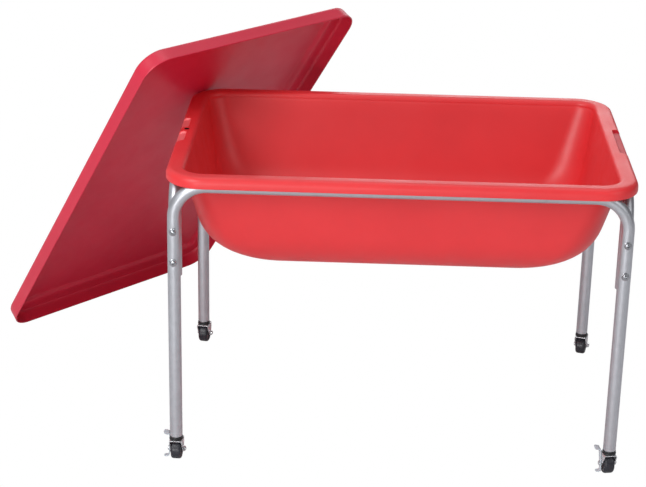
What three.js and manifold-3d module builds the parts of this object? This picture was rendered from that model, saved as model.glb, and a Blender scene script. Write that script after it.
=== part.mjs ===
// Sand and water play table: a moulded basin hung in a bent-tube frame on four swivel
// casters, with a drain in the floor of the basin and a lift-off lid.
// Millimetres, +Z up. The origin is on the floor, under the middle of the box that bounds
// the whole set, lid included. +X runs along the length of the basin, +Y from the side
// with the braked casters to the back. Front is -Y and left is -X.

import * as THREE from 'three';
import { mergeVertices } from 'three/addons/utils/BufferGeometryUtils.js';
import Module from 'manifold-3d';

const wasm = await Module();
wasm.setup();

// ---------------------------------------------------------------- shared dimensions

const TABLE_HEIGHT = 610;      // floor to the crown of the rim
const TABLE_AT = [219.543, -236.71];  // centre of the basin, from the origin of the set
const GAP = 0.3;               // clearance between neighbouring pieces
const NUT_GAP = 0.25;          // clearance of nuts and hubs round their bolts

// basin
const LIP_X = 455;             // half length over the bottom edge of the rolled rim
const LIP_Y = 303;             // half width over the same edge
const SKIN = 3.5;              // wall of the basin
const BASIN_BOTTOM = 378;      // underside of the floor
const FLOOR_TOP = BASIN_BOTTOM + SKIN;

// drain
const DRAIN_BORE = 13;
const DRAIN_TUBE = 17;

// frame
const TUBE_R = 12.7;
const TUBE_BORE = 11.2;
const LEG_X = 435;             // leg centres
const LEG_Y = 284.5;
const RAIL_Z = 588;            // centre of the rails inside the rolled rim
const LEG_END = 54.5;          // height of the foot of the legs

// ---------------------------------------------------------------- solids and meshes

const rad = THREE.MathUtils.degToRad;

function toSolid(geometry) {
  geometry.deleteAttribute('normal');
  geometry.deleteAttribute('uv');
  const merged = mergeVertices(geometry, 1e-4);
  const index = merged.index.array;
  const triangles = [];
  for (let i = 0; i < index.length; i += 3) {
    const [a, b, c] = [index[i], index[i + 1], index[i + 2]];
    if (a !== b && b !== c && c !== a) triangles.push(a, b, c);
  }
  return new wasm.Manifold(new wasm.Mesh({
    numProp: 3,
    vertProperties: new Float32Array(merged.attributes.position.array),
    triVerts: new Uint32Array(triangles),
  }));
}

function toGeometry(solid) {
  const { vertProperties, numProp, triVerts } = solid.getMesh();
  const count = vertProperties.length / numProp;
  const positions = new Float32Array(count * 3);
  for (let i = 0; i < count; i++) {
    for (let k = 0; k < 3; k++) positions[3 * i + k] = vertProperties[i * numProp + k];
  }
  const geometry = new THREE.BufferGeometry();
  geometry.setAttribute('position', new THREE.BufferAttribute(positions, 3));
  geometry.setIndex(new THREE.BufferAttribute(new Uint32Array(triVerts), 1));
  geometry.computeVertexNormals();
  return geometry;
}

// swap two corners of every triangle, which turns the faces round
function flipTriangles(index) {
  for (let i = 0; i < index.length; i += 3) {
    [index[i], index[i + 1]] = [index[i + 1], index[i]];
  }
}

// A loft through rings of equal point count. ends: 'cap' closes each end with a fan,
// 'loop' joins the last ring to the first.
function loft(rings, ends) {
  const count = rings[0].length;
  const last = rings.length - 1;
  const positions = rings.flat(2);
  const triangles = [];

  const join = (ringA, ringB) => {
    for (let i = 0; i < count; i++) {
      const j = (i + 1) % count;
      const [a, aNext] = [ringA * count + i, ringA * count + j];
      const [b, bNext] = [ringB * count + i, ringB * count + j];
      triangles.push(a, aNext, bNext, a, bNext, b);
    }
  };
  const cap = (ring, flip) => {
    const middle = [0, 1, 2].map((k) => rings[ring].reduce((sum, p) => sum + p[k], 0) / count);
    const centre = positions.length / 3;
    positions.push(...middle);
    for (let i = 0; i < count; i++) {
      const edge = [ring * count + i, ring * count + ((i + 1) % count)];
      if (flip) edge.reverse();
      triangles.push(centre, ...edge);
    }
  };

  for (let k = 0; k < last; k++) join(k, k + 1);
  if (ends === 'loop') {
    join(last, 0);
  } else {
    cap(0, true);
    cap(last, false);
  }

  // faces point outwards when the signed volume is positive
  const corner = (i) => new THREE.Vector3().fromArray(positions, 3 * i);
  let volume = 0;
  for (let i = 0; i < triangles.length; i += 3) {
    const [a, b, c] = triangles.slice(i, i + 3).map(corner);
    volume += a.dot(b.cross(c));
  }
  if (volume < 0) flipTriangles(triangles);

  const geometry = new THREE.BufferGeometry();
  geometry.setAttribute('position', new THREE.Float32BufferAttribute(positions, 3));
  geometry.setIndex(triangles);
  return toSolid(geometry);
}

const CORNER_STEPS = 7;

// points of a rounded rectangle at height z, anticlockwise from +X
function roundRect(halfX, halfY, radius, z) {
  const points = [];
  [[1, 1, 0], [-1, 1, 90], [-1, -1, 180], [1, -1, 270]].forEach(([sideX, sideY, start]) => {
    for (let i = 0; i <= CORNER_STEPS; i++) {
      const angle = rad(start + (90 * i) / CORNER_STEPS);
      points.push([
        sideX * (halfX - radius) + radius * Math.cos(angle),
        sideY * (halfY - radius) + radius * Math.sin(angle),
        z,
      ]);
    }
  });
  return points;
}

// a cylinder along an axis, from low to high; at: its place on the other two axes, in order
function rod(radius, low, high, sides, axis, at = [0, 0]) {
  const geometry = new THREE.CylinderGeometry(radius, radius, high - low, sides);
  const middle = (high + low) / 2;
  if (axis === 'x') geometry.rotateZ(-Math.PI / 2).translate(middle, at[0], at[1]);
  if (axis === 'y') geometry.translate(at[0], middle, at[1]);
  if (axis === 'z') geometry.rotateX(Math.PI / 2).translate(at[0], at[1], middle);
  return toSolid(geometry);
}

// a box between any two opposite corners
function box(from, to) {
  const size = from.map((value, k) => Math.abs(to[k] - value));
  const middle = from.map((value, k) => (to[k] + value) / 2);
  return toSolid(new THREE.BoxGeometry(...size).translate(...middle));
}

// a piece turned about Z: profile of [radius, height], closed on itself or on the axis
function turned(profile, sides) {
  const points = profile.map(([radius, height]) => new THREE.Vector2(radius, height));
  const geometry = new THREE.LatheGeometry(points, sides);
  geometry.rotateX(Math.PI / 2);
  const solid = toSolid(geometry);
  if (solid.volume() >= 0) return solid;
  flipTriangles(geometry.index.array);
  return toSolid(geometry);
}

const closed = (profile) => [...profile, profile[0]];

// a profile followed by its mirror image in height 0
const mirrored = (half) => [...half, ...half.map(([radius, height]) => [radius, -height]).reverse()];

// a flat plate between x0 and x1, from a THREE.Shape with its x along Y and its y along Z
function plateYZ(shape, x0, x1) {
  const geometry = new THREE.ExtrudeGeometry(shape, {
    depth: x1 - x0,
    bevelEnabled: false,
    curveSegments: 6,
  });
  geometry.applyMatrix4(new THREE.Matrix4().set(
    0, 0, 1, x0,
    1, 0, 0, 0,
    0, 1, 0, 0,
    0, 0, 0, 1,
  ));
  return toSolid(geometry);
}

const standard = (settings) => () => new THREE.MeshStandardMaterial(settings);

const finish = {
  basin: standard({ color: 0xe23a35, roughness: 0.4, metalness: 0 }),
  lid: standard({ color: 0xd83440, roughness: 0.45, metalness: 0 }),
  tube: standard({ color: 0xb6b9bf, roughness: 0.4, metalness: 0.6 }),
  zinc: standard({ color: 0xc9ccd0, roughness: 0.28, metalness: 1 }),
  socket: standard({ color: 0x1c1c1f, roughness: 0.5, metalness: 0 }),
  hub: standard({ color: 0x242427, roughness: 0.5, metalness: 0 }),
  tread: standard({ color: 0x303033, roughness: 0.7, metalness: 0 }),
  drain: standard({ color: 0xe9e6df, roughness: 0.4, metalness: 0 }),
  seal: standard({ color: 0x1a1a1a, roughness: 0.8, metalness: 0 }),
};

// everything, measured from the floor under the centre of the basin
const table = new THREE.Group();
table.position.set(TABLE_AT[0], TABLE_AT[1], 0);

function place(name, solid, material, parent = table) {
  const mesh = new THREE.Mesh(toGeometry(solid), material());
  mesh.name = name;
  parent.add(mesh);
}

function addGroup(x, y, z, parent = table) {
  const group = new THREE.Group();
  group.position.set(x, y, z);
  parent.add(group);
  return group;
}

// ---------------------------------------------------------------- basin

const LIP_Z = 588;             // height of the bottom edge of the rim
const LIP_R = 76;              // plan radius of the rim's corners
const WALL_TOP = 600;          // where the walls meet the rim
const CORNER_TOP = 44;         // plan radius of the walls under the rim
const CORNER_BOTTOM = 80;      // and at the floor
const RIM_IN_X = 33.5;         // lip edge to the outside of the end walls
const RIM_IN_Y = 32.2;         // lip edge to the outside of the side walls
// outer half width under the rim, draft in degrees, radius that joins the wall to the floor
const END_WALL = { top: LIP_X - RIM_IN_X, draft: 11, sweep: 140 };
const SIDE_WALL = { top: LIP_Y - RIM_IN_Y, draft: 19, sweep: 120 };

// heights of the wall rings above the floor
const WALL_LEVELS = [0, 1.2, 4.5, 10, 18, 29, 43, 60, 80, 104, 132];

// section of the rim: [inset from the lip edge, height]
const RIM_INSIDE = [[33, 605], [30.5, 608.4], [26.5, TABLE_HEIGHT]];
const RIM_SHOULDER = [
  [12.6, TABLE_HEIGHT], [7.2, 608.8], [3.4, 606.2], [1, 602.5], [0, 598], [0, LIP_Z],
];
const RIM_UNDERSIDE = [
  [3.4, LIP_Z], [3.6, 597], [5.2, 601.8], [8.8, 605], [13.4, 606], [25.5, 606], [29, 604.6],
];
// the extra width of the end rims is taken up between these insets
const WIDEN_FROM = 10;
const WIDEN_TO = 32;

const CROWN_INSIDE = 607.5;    // top of the added blocks, within the skin of the crown

const GRIP_HALF = 76;          // finger grips in the end rims: half length
const GRIP_IN = 13.5;          // depth from the lip edge
const GRIP_FLOOR = 603.7;      // height of their ledge
const GRIP_RIB_HALF = 15;      // half width of the rib that splits the left grip
const GRIP_SKIN = 3;           // thickening round each grip
const GRIP_PAD_IN = 2.2;       // lip edge to the outer side of the thickening
const HANG_HOLE_R = 4;
const HANG_HOLE_IN = 16;       // lip edge to the centre of the hole

const RIB_HALF = 4;            // seat ribs: half thickness
const RIB_LOW = RAIL_Z + TUBE_R + GAP;
const RIB_OUTER = 8;           // lip edge to the outer end of the ribs
const SIDE_RIB_INNER = 30;     // and to the inner end
const END_RIB_INNER = 31;
const SIDE_RIB_X = [-260, 0, 260];
const END_RIB_Y = [-150, 150];

// half width of a wall at height z: a drafted line that runs into the floor sweep;
// the wall is moved in by offset, square to its face
function wallHalf(z, wall, offset) {
  const draft = rad(wall.draft);
  const top = wall.top - offset / Math.cos(draft);
  const sweep = wall.sweep - offset;
  const centreZ = BASIN_BOTTOM + offset + sweep;
  if (z >= centreZ - sweep * Math.sin(draft)) return top - Math.tan(draft) * (WALL_TOP - z);
  const centre = top - Math.tan(draft) * (WALL_TOP - centreZ) - sweep / Math.cos(draft);
  return centre + Math.sqrt(Math.max(sweep * sweep - (centreZ - z) ** 2, 0));
}

function wallRing(z, offset) {
  const depth = (WALL_TOP - z) / (WALL_TOP - BASIN_BOTTOM);
  const radius = CORNER_TOP + (CORNER_BOTTOM - CORNER_TOP) * depth - offset;
  return roundRect(wallHalf(z, END_WALL, offset), wallHalf(z, SIDE_WALL, offset), radius, z);
}

function wallRings(offset) {
  const heights = [...WALL_LEVELS.map((level) => BASIN_BOTTOM + offset + level), WALL_TOP];
  return heights.map((z) => wallRing(z, offset));
}

function rimRing([inset, z]) {
  const share = (inset - WIDEN_FROM) / (WIDEN_TO - WIDEN_FROM);
  const widening = THREE.MathUtils.clamp(share, 0, 1) * (RIM_IN_X - RIM_IN_Y);
  return roundRect(LIP_X - inset - widening, LIP_Y - inset, LIP_R - inset, z);
}

// up the inside, over the rim and down the outside
function basinShell() {
  const rim = [...RIM_INSIDE, ...RIM_SHOULDER, ...RIM_UNDERSIDE].map(rimRing);
  return loft([...wallRings(SKIN), ...rim, ...wallRings(0).reverse()], 'cap');
}

// the rim is thickened behind each grip, inside the shoulder's own outline, then the
// shoulder is cut back to a ledge
function withGrips(shell) {
  const shoulder = loft(RIM_SHOULDER.map(rimRing).reverse(), 'cap');
  const padHalf = GRIP_HALF + GRIP_SKIN;
  let basin = shell;
  [-1, 1].forEach((side) => {
    const endX = (inset) => side * (LIP_X - inset);
    const pad = box(
      [endX(GRIP_PAD_IN), -padHalf, GRIP_FLOOR - GRIP_SKIN],
      [endX(GRIP_IN + GRIP_SKIN), padHalf, CROWN_INSIDE],
    );
    basin = basin.add(pad.intersect(shoulder));
    const cuts = side > 0
      ? [[-GRIP_HALF, GRIP_HALF]]
      : [[-GRIP_HALF, -GRIP_RIB_HALF], [GRIP_RIB_HALF, GRIP_HALF]];
    cuts.forEach(([y0, y1]) => {
      const cut = box([endX(-5), y0, GRIP_FLOOR], [endX(GRIP_IN), y1, TABLE_HEIGHT + 5]);
      basin = basin.subtract(cut);
    });
  });
  // small hanging hole at the inner end of the rib
  return basin.subtract(rod(HANG_HOLE_R, 595, 615, 12, 'z', [HANG_HOLE_IN - LIP_X, 0]));
}

// seat ribs under the crown, which carry the basin on the rails
function seatRibs() {
  const ribs = [];
  SIDE_RIB_X.forEach((x) => [-1, 1].forEach((side) => ribs.push(box(
    [x - RIB_HALF, side * (LIP_Y - RIB_OUTER), RIB_LOW],
    [x + RIB_HALF, side * (LIP_Y - SIDE_RIB_INNER), CROWN_INSIDE],
  ))));
  END_RIB_Y.forEach((y) => [-1, 1].forEach((side) => ribs.push(box(
    [side * (LIP_X - RIB_OUTER), y - RIB_HALF, RIB_LOW],
    [side * (LIP_X - END_RIB_INNER), y + RIB_HALF, CROWN_INSIDE],
  ))));
  return ribs;
}

function addBasin() {
  const basin = seatRibs().reduce((solid, rib) => solid.add(rib), withGrips(basinShell()));
  const drainHole = rod(DRAIN_TUBE + 0.8, 370, 390, 20, 'z');
  place('basin', basin.subtract(drainHole), finish.basin);
}

// ---------------------------------------------------------------- drain

const DRAIN_SIDES = 20;
const FLANGE_R = 30;
const GASKET_R = 28;
const LOCKNUT_R = 27;
const LOCKNUT_LOW = 366;
const DRAIN_END = 350;         // height of the foot of the tube
const PLUG_SEAT = FLOOR_TOP + 5.3;

// profiles of [radius, height]
const GASKET = closed([
  [DRAIN_TUBE + 0.6, FLOOR_TOP + GAP], [GASKET_R, FLOOR_TOP + GAP],
  [GASKET_R, FLOOR_TOP + 2.1], [DRAIN_TUBE + 0.6, FLOOR_TOP + 2.1],
]);
const FITTING = closed([
  [DRAIN_BORE, DRAIN_END], [DRAIN_TUBE - 1.5, DRAIN_END], [DRAIN_TUBE, DRAIN_END + 2],
  [DRAIN_TUBE, FLOOR_TOP + 2.4], [FLANGE_R, FLOOR_TOP + 2.4], [FLANGE_R, FLOOR_TOP + 3.6],
  [27.5, FLOOR_TOP + 5], [DRAIN_BORE + 3, FLOOR_TOP + 5], [DRAIN_BORE, FLOOR_TOP + 3.6],
]);
// height from the plug's seat
const PLUG = [
  [0, -18], [DRAIN_BORE - 1.6, -18], [DRAIN_BORE - 0.5, -14], [DRAIN_BORE - 0.4, 0],
  [19, 0], [19, 2.6], [17.5, 4], [6, 4], [4.5, 9], [8, 13], [8, 15], [6, 16.5], [0, 16.5],
];

function addDrain() {
  place('drain_gasket', turned(GASKET, DRAIN_SIDES), finish.seal);
  place('drain_fitting', turned(FITTING, DRAIN_SIDES), finish.drain);
  const locknut = rod(LOCKNUT_R, LOCKNUT_LOW, BASIN_BOTTOM - GAP, 6, 'z')
    .subtract(rod(DRAIN_TUBE + 0.7, 360, 380, DRAIN_SIDES, 'z'));
  place('drain_locknut', locknut, finish.drain);
  const plug = PLUG.map(([radius, height]) => [radius, PLUG_SEAT + height]);
  place('drain_plug', turned(plug, DRAIN_SIDES), finish.seal);
}

// ---------------------------------------------------------------- frame

const X_AXIS = new THREE.Vector3(1, 0, 0);
const Y_AXIS = new THREE.Vector3(0, 1, 0);
const TUBE_SIDES = 12;
const BEND_R = 64;
const BEND_STEPS = 7;
const STUB_Y = LEG_Y - 2 * TUBE_R - 0.4;  // stubs of the end rails, just inside the legs
const STUB_END = 394;          // height of the foot of the stubs
const BOLT_Z = { lower: 434, upper: 497.5 };
const BOLT_R = 3;
const BOLT_HEAD_Y = LEG_Y + TUBE_R + GAP;
const BOLT_NUT_Y = STUB_Y - TUBE_R - GAP;
const BOLT_END = 7;            // shank beyond the seat of the nut
const BOLT_SIDES = 10;

// [radius, height] of the domed head; the height runs along the shank
const BOLT_HEAD = [
  [0, -5.5], [4.6, -5], [7, -3.6], [8, -1.8], [8, -0.8], [6.5, 0], [0, 0],
];

const ENDS_Y = [['front', -1], ['rear', 1]];
const ENDS_X = [['left', -1], ['right', 1]];

// a hollow tube along a path that lies in one plane with the given normal
function tube(path, normal) {
  const ring = (point, i, radius) => {
    const before = path[Math.max(i - 1, 0)];
    const after = path[Math.min(i + 1, path.length - 1)];
    const along = after.clone().sub(before).normalize();
    const across = new THREE.Vector3().crossVectors(along, normal).normalize();
    return Array.from({ length: TUBE_SIDES }, (_, k) => {
      const angle = (2 * Math.PI * k) / TUBE_SIDES;
      return point.clone()
        .addScaledVector(normal, radius * Math.cos(angle))
        .addScaledVector(across, radius * Math.sin(angle))
        .toArray();
    });
  };
  const outside = path.map((point, i) => ring(point, i, TUBE_R));
  const inside = path.map((point, i) => ring(point, i, TUBE_BORE));
  return loft([...outside, ...inside.reverse()], 'loop');
}

// [distance from the middle, height] along an inverted U, up from one foot and down to the other
function invertedU(half, foot) {
  const rising = [[-half, foot]];
  for (let i = 0; i <= BEND_STEPS; i++) {
    const angle = ((Math.PI / 2) * i) / BEND_STEPS;
    rising.push([
      -half + BEND_R * (1 - Math.cos(angle)),
      RAIL_Z - BEND_R + BEND_R * Math.sin(angle),
    ]);
  }
  return [...rising, ...rising.map(([distance, z]) => [-distance, z]).reverse()];
}

// an inverted U of tube, drilled along Y for the bolts in both of its uprights
function bentFrame({ centre, across, normal, half, foot }) {
  const at = (distance, z) => centre.clone().addScaledVector(across, distance).setZ(z);
  let frame = tube(invertedU(half, foot).map(([distance, z]) => at(distance, z)), normal);
  [-half, half].forEach((distance) => Object.values(BOLT_Z).forEach((z) => {
    const { x, y } = at(distance, z);
    frame = frame.subtract(rod(BOLT_R + 0.4, y - 20, y + 20, BOLT_SIDES, 'y', [x, z]));
  }));
  return frame;
}

function addFrames() {
  ENDS_Y.forEach(([end, side]) => place(`${end}_leg_frame`, bentFrame({
    centre: new THREE.Vector3(0, side * LEG_Y, 0),
    across: X_AXIS,
    normal: Y_AXIS,
    half: LEG_X,
    foot: LEG_END,
  }), finish.tube));
  ENDS_X.forEach(([end, side]) => place(`${end}_end_rail`, bentFrame({
    centre: new THREE.Vector3(side * LEG_X, 0, 0),
    across: Y_AXIS,
    normal: X_AXIS,
    half: STUB_Y,
    foot: STUB_END,
  }), finish.tube));
}

// a bolt along Z with its head seated at 0 and a cross recess in the head
function boltSolid() {
  const shank = rod(BOLT_R, -0.5, BOLT_HEAD_Y - BOLT_NUT_Y + BOLT_END, BOLT_SIDES, 'z');
  const recess = box([-3.2, -0.8, -6.5], [3.2, 0.8, -3.6])
    .add(box([-0.8, -3.2, -6.5], [0.8, 3.2, -3.6]));
  return turned(BOLT_HEAD, 14).add(shank).subtract(recess);
}

function nutSolid() {
  return rod(6, 0, 5, 6, 'z').subtract(rod(BOLT_R + NUT_GAP, -1, 6, BOLT_SIDES, 'z'));
}

// bolts run through the leg and the stub behind it; the heads are on the outside
function addBolts() {
  ENDS_Y.forEach(([end, sideY]) => ENDS_X.forEach(([side, sideX]) => {
    Object.entries(BOLT_Z).forEach(([level, z]) => {
      const layInward = (solid, y) => solid
        .rotate([90 * sideY, 0, 0])
        .translate([sideX * LEG_X, sideY * y, z]);
      const suffix = `${end}_${side}_${level}`;
      place(`bolt_${suffix}`, layInward(boltSolid(), BOLT_HEAD_Y), finish.zinc);
      place(`nut_${suffix}`, layInward(nutSolid(), BOLT_NUT_Y), finish.zinc);
    });
  }));
}

// ---------------------------------------------------------------- casters

const WHEEL_R = 21;
const WHEEL_HALF = 10.5;       // half width of the wheel
const HUB_R = 12;
const TRAIL = 7;               // swivel axis to axle, towards +Y
const AXLE_AT = [TRAIL, WHEEL_R];
const FORK_HALF = 13.4;
const PLATE = 1.8;
const FORK_TOP = 46;
const FORK_FRONT = 13;         // fork ahead of the swivel axis
const FORK_BACK = 17.5;        // and behind it
const AXLE_R = 2.9;
const AXLE_SIDES = 12;
const STEM_R = 3.8;
const RIVET = FORK_TOP - PLATE - 1.8;  // underside of the head that holds the fork on the stem
const LEVER_GAP = 0.35;        // clearance on each side of the brake lever
const LEVER_THICK = 1.7;

// rest heading in degrees about +Z
const CASTERS = [
  { name: 'front_left', sideX: -1, sideY: -1, heading: -2, braked: true },
  { name: 'front_right', sideX: 1, sideY: -1, heading: 10, braked: true },
  { name: 'rear_left', sideX: -1, sideY: 1, heading: -9, braked: false },
  { name: 'rear_right', sideX: 1, sideY: 1, heading: -15, braked: false },
];

// profiles of [radius, height]: plastic plug and collar in the foot of the leg
const SOCKET = closed([
  [STEM_R + GAP, FORK_TOP + 0.4], [13.2, FORK_TOP + 0.4], [13.8, FORK_TOP + 1],
  [13.8, FORK_TOP + 3.4], [12.2, FORK_TOP + 4], [12.2, FORK_TOP + 4.8], [13, FORK_TOP + 5.4],
  [13, LEG_END - 0.4], [10.7, LEG_END - 0.4], [10.7, 84], [9.6, 86],
  [0, 86], [0, 79], [STEM_R + GAP, 79],
]);
// swivel stem, headed over under the fork
const STEM = [
  [0, RIVET], [4.4, RIVET], [5.2, RIVET + 0.6], [5.2, RIVET + 1.4],
  [STEM_R, RIVET + 1.4], [STEM_R, 77], [3, 78.4], [0, 78.4],
];
// hub and tread: height along the axle, from the middle of the wheel
const HUB = closed(mirrored([
  [AXLE_R + NUT_GAP, -WHEEL_HALF - 0.7], [6, -WHEEL_HALF - 0.7],
  [6.6, -WHEEL_HALF + 1.4], [HUB_R, -WHEEL_HALF + 1.4],
]));
const TREAD = closed(mirrored([
  [HUB_R + GAP, -WHEEL_HALF + 0.6], [16.4, -WHEEL_HALF], [18.7, -WHEEL_HALF + 0.8],
  [20.3, -WHEEL_HALF + 2.8], [WHEEL_R, -WHEEL_HALF + 5.6],
]));

// brake lever, a rocker on the axle: [y, z] from the axle; one arm up towards +Y,
// one arm down towards -Y
const LEVER = [
  [11.5, 31.5], [12.5, 24], [9, 12], [6.6, 4], [6.2, -3], [3.5, -8.5], [0.5, -14.5],
  [-11, -14.5], [-10.5, -8], [-6.4, -2.5], [-6.2, 3.5], [-3.5, 12], [-1, 24], [-0.5, 31.5],
];
// toe tabs: y span and z from the axle, reach from the lever, upward tilt in degrees
const TOE_TABS = [
  { y0: -0.5, y1: 11.5, z: 30.2, reach: 12.5, tilt: 14 },
  { y0: -10.9, y1: 0.4, z: -13.4, reach: 10.5, tilt: -4 },
];

// down the front edge, round the axle and up the back edge
function cheekShape() {
  const shape = new THREE.Shape();
  shape.moveTo(-FORK_FRONT, FORK_TOP);
  shape.lineTo(-FORK_FRONT, 40.5);
  shape.quadraticCurveTo(-FORK_FRONT + 1.5, 35.5, -6.5, 29);
  shape.lineTo(TRAIL - 6.2, WHEEL_R - 2.8);
  shape.absarc(TRAIL, WHEEL_R, 6.8, rad(204), rad(344), false);
  shape.lineTo(FORK_BACK, 31);
  shape.lineTo(FORK_BACK, FORK_TOP);
  shape.closePath();
  return shape;
}

// stamped fork: two cheeks under a top plate
function forkSolid() {
  const cheek = cheekShape();
  return plateYZ(cheek, FORK_HALF - PLATE, FORK_HALF)
    .add(plateYZ(cheek, -FORK_HALF, -FORK_HALF + PLATE))
    .add(box([-FORK_HALF, -FORK_FRONT, FORK_TOP - PLATE], [FORK_HALF, FORK_BACK, FORK_TOP]))
    .subtract(rod(STEM_R + 0.5, 30, 60, 14, 'z'))
    .subtract(rod(AXLE_R + GAP, -30, 30, AXLE_SIDES, 'x', AXLE_AT));
}

// axle bolt, with its head outside the brake lever, or against the fork where there is none
function axleSolid(braked) {
  const headX = -(FORK_HALF + (braked ? 2 * LEVER_GAP + LEVER_THICK : GAP));
  return rod(AXLE_R, headX - 1, FORK_HALF + 5.4, AXLE_SIDES, 'x', AXLE_AT)
    .add(rod(5, headX - 2.8, headX, AXLE_SIDES, 'x', AXLE_AT));
}

function axleNutSolid() {
  return rod(5.2, FORK_HALF + GAP, FORK_HALF + 4.2, 6, 'x', AXLE_AT)
    .subtract(rod(AXLE_R + NUT_GAP, 0, 40, AXLE_SIDES, 'x', AXLE_AT));
}

function leverSolid() {
  const innerX = -(FORK_HALF + LEVER_GAP);
  const shape = new THREE.Shape(LEVER.map(([y, z]) => new THREE.Vector2(TRAIL + y, WHEEL_R + z)));
  shape.closePath();
  let lever = plateYZ(shape, innerX - LEVER_THICK, innerX);
  TOE_TABS.forEach(({ y0, y1, z, reach, tilt }) => {
    const tab = new THREE.BoxGeometry(reach, y1 - y0, LEVER_THICK);
    tab.translate(-reach / 2, 0, 0);
    tab.rotateY(rad(tilt));
    tab.translate(innerX - 0.3, TRAIL + (y0 + y1) / 2, WHEEL_R + z);
    lever = lever.add(toSolid(tab));
  });
  return lever.subtract(rod(AXLE_R + GAP, -40, 0, AXLE_SIDES, 'x', AXLE_AT));
}

function addCaster({ name, sideX, sideY, heading, braked }) {
  const swivel = addGroup(sideX * LEG_X, sideY * LEG_Y, 0);
  swivel.rotation.z = rad(heading);
  const fixed = addGroup(sideX * LEG_X, sideY * LEG_Y, 0);

  place(`socket_${name}`, turned(SOCKET, 18), finish.socket, fixed);
  place(`stem_${name}`, turned(STEM, 14), finish.zinc, fixed);
  place(`fork_${name}`, forkSolid(), finish.zinc, swivel);
  place(`axle_${name}`, axleSolid(braked), finish.zinc, swivel);
  place(`axle_nut_${name}`, axleNutSolid(), finish.zinc, swivel);

  const wheel = addGroup(0, TRAIL, WHEEL_R, swivel);
  wheel.rotation.y = Math.PI / 2;
  place(`hub_${name}`, turned(HUB, 20), finish.hub, wheel);
  place(`tread_${name}`, turned(TREAD, 24), finish.tread, wheel);

  if (braked) place(`brake_lever_${name}`, leverSolid(), finish.zinc, swivel);
}

// ---------------------------------------------------------------- lid

const LID_OVERHANG = 4;        // lid beyond the lip of the basin
const LID_X = LIP_X + LID_OVERHANG;  // half length over the free edge of the skirt
const LID_Y = LIP_Y + LID_OVERHANG;
const LID_DEPTH = 34;          // free edge to the border of the panel
const LID_R = 54;
const LID_WALL = 3;
const LID_BORDER = 38;         // width of the border round the raised centre
const LID_RISE = 8;            // how far the centre stands above the border
// the lid stands on its short edge and leans on the rear left corner of the rim
const LID_HEADING = rad(48.01);
const LID_LEAN = rad(55.17);
// middle of the free edge, from the floor under the centre of the basin
const LID_CENTRE = [-494.927, 374.382, 377.47];

// [inset, height above the free edge], from the middle of the inside out to the free edge,
// then back over the outside
const LID_SECTION = [
  [LID_BORDER + 12, LID_DEPTH + LID_RISE - LID_WALL], [LID_BORDER + 4, LID_DEPTH - LID_WALL],
  [8.4, LID_DEPTH - LID_WALL], [6.2, LID_DEPTH - 4.6], [5.2, LID_DEPTH - 8], [LID_WALL, 0],
  [0, 0], [2.2, LID_DEPTH - 8], [3.2, LID_DEPTH - 3.4], [5.2, LID_DEPTH - 0.8],
  [8.4, LID_DEPTH], [LID_BORDER, LID_DEPTH], [LID_BORDER + 8, LID_DEPTH + LID_RISE],
];

function addLid() {
  const along = new THREE.Vector3(
    Math.sin(LID_HEADING) * Math.cos(LID_LEAN),
    -Math.cos(LID_HEADING) * Math.cos(LID_LEAN),
    Math.sin(LID_LEAN),
  );
  const across = new THREE.Vector3(Math.cos(LID_HEADING), Math.sin(LID_HEADING), 0);
  const normal = new THREE.Vector3().crossVectors(along, across);
  const leaning = addGroup(...LID_CENTRE);
  leaning.quaternion.setFromRotationMatrix(new THREE.Matrix4().makeBasis(along, across, normal));

  const rings = LID_SECTION.map(([inset, z]) => (
    roundRect(LID_X - inset, LID_Y - inset, LID_R - inset, z)
  ));
  place('lid', loft(rings, 'cap'), finish.lid, leaning);
}

// ---------------------------------------------------------------- the whole set

addBasin();
addDrain();
addFrames();
addBolts();
CASTERS.forEach(addCaster);
addLid();

const set = new THREE.Group();
set.add(table);

export default set;
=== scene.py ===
"""Looks for a sand and water table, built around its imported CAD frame.

A red basin with rounded corners hangs by its rim on bent steel tubes. Four legs stand in small
casters, the front two with toe brakes. A drain sits in the middle of the basin's floor, and the
lid leans at the rear left corner.

Lengths are in mm, measured from the centre of the basin: +X right, -Y front, +Z up, and the
ground at z = 0. Lights and shader distances are in metres.
"""
from math import atan2, cos, pi, radians, sin, sqrt, tan

import bpy
import bmesh
from mathutils import Vector, Matrix


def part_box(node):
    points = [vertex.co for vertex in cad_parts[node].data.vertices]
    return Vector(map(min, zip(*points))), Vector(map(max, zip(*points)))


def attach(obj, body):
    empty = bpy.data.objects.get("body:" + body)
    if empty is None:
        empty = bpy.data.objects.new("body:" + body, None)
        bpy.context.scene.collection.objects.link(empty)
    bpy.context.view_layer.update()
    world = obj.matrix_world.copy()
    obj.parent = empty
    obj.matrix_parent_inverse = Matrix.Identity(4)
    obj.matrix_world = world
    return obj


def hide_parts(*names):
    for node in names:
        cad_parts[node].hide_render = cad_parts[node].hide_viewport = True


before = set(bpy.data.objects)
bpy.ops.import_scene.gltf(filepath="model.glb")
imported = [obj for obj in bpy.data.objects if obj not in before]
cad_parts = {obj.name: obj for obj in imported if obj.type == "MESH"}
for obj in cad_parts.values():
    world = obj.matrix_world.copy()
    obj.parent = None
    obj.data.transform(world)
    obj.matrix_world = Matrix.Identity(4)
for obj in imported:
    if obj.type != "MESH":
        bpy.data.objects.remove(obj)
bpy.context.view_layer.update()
MM = 0.001
GAP = 0.3  # clearance between neighbouring parts

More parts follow.
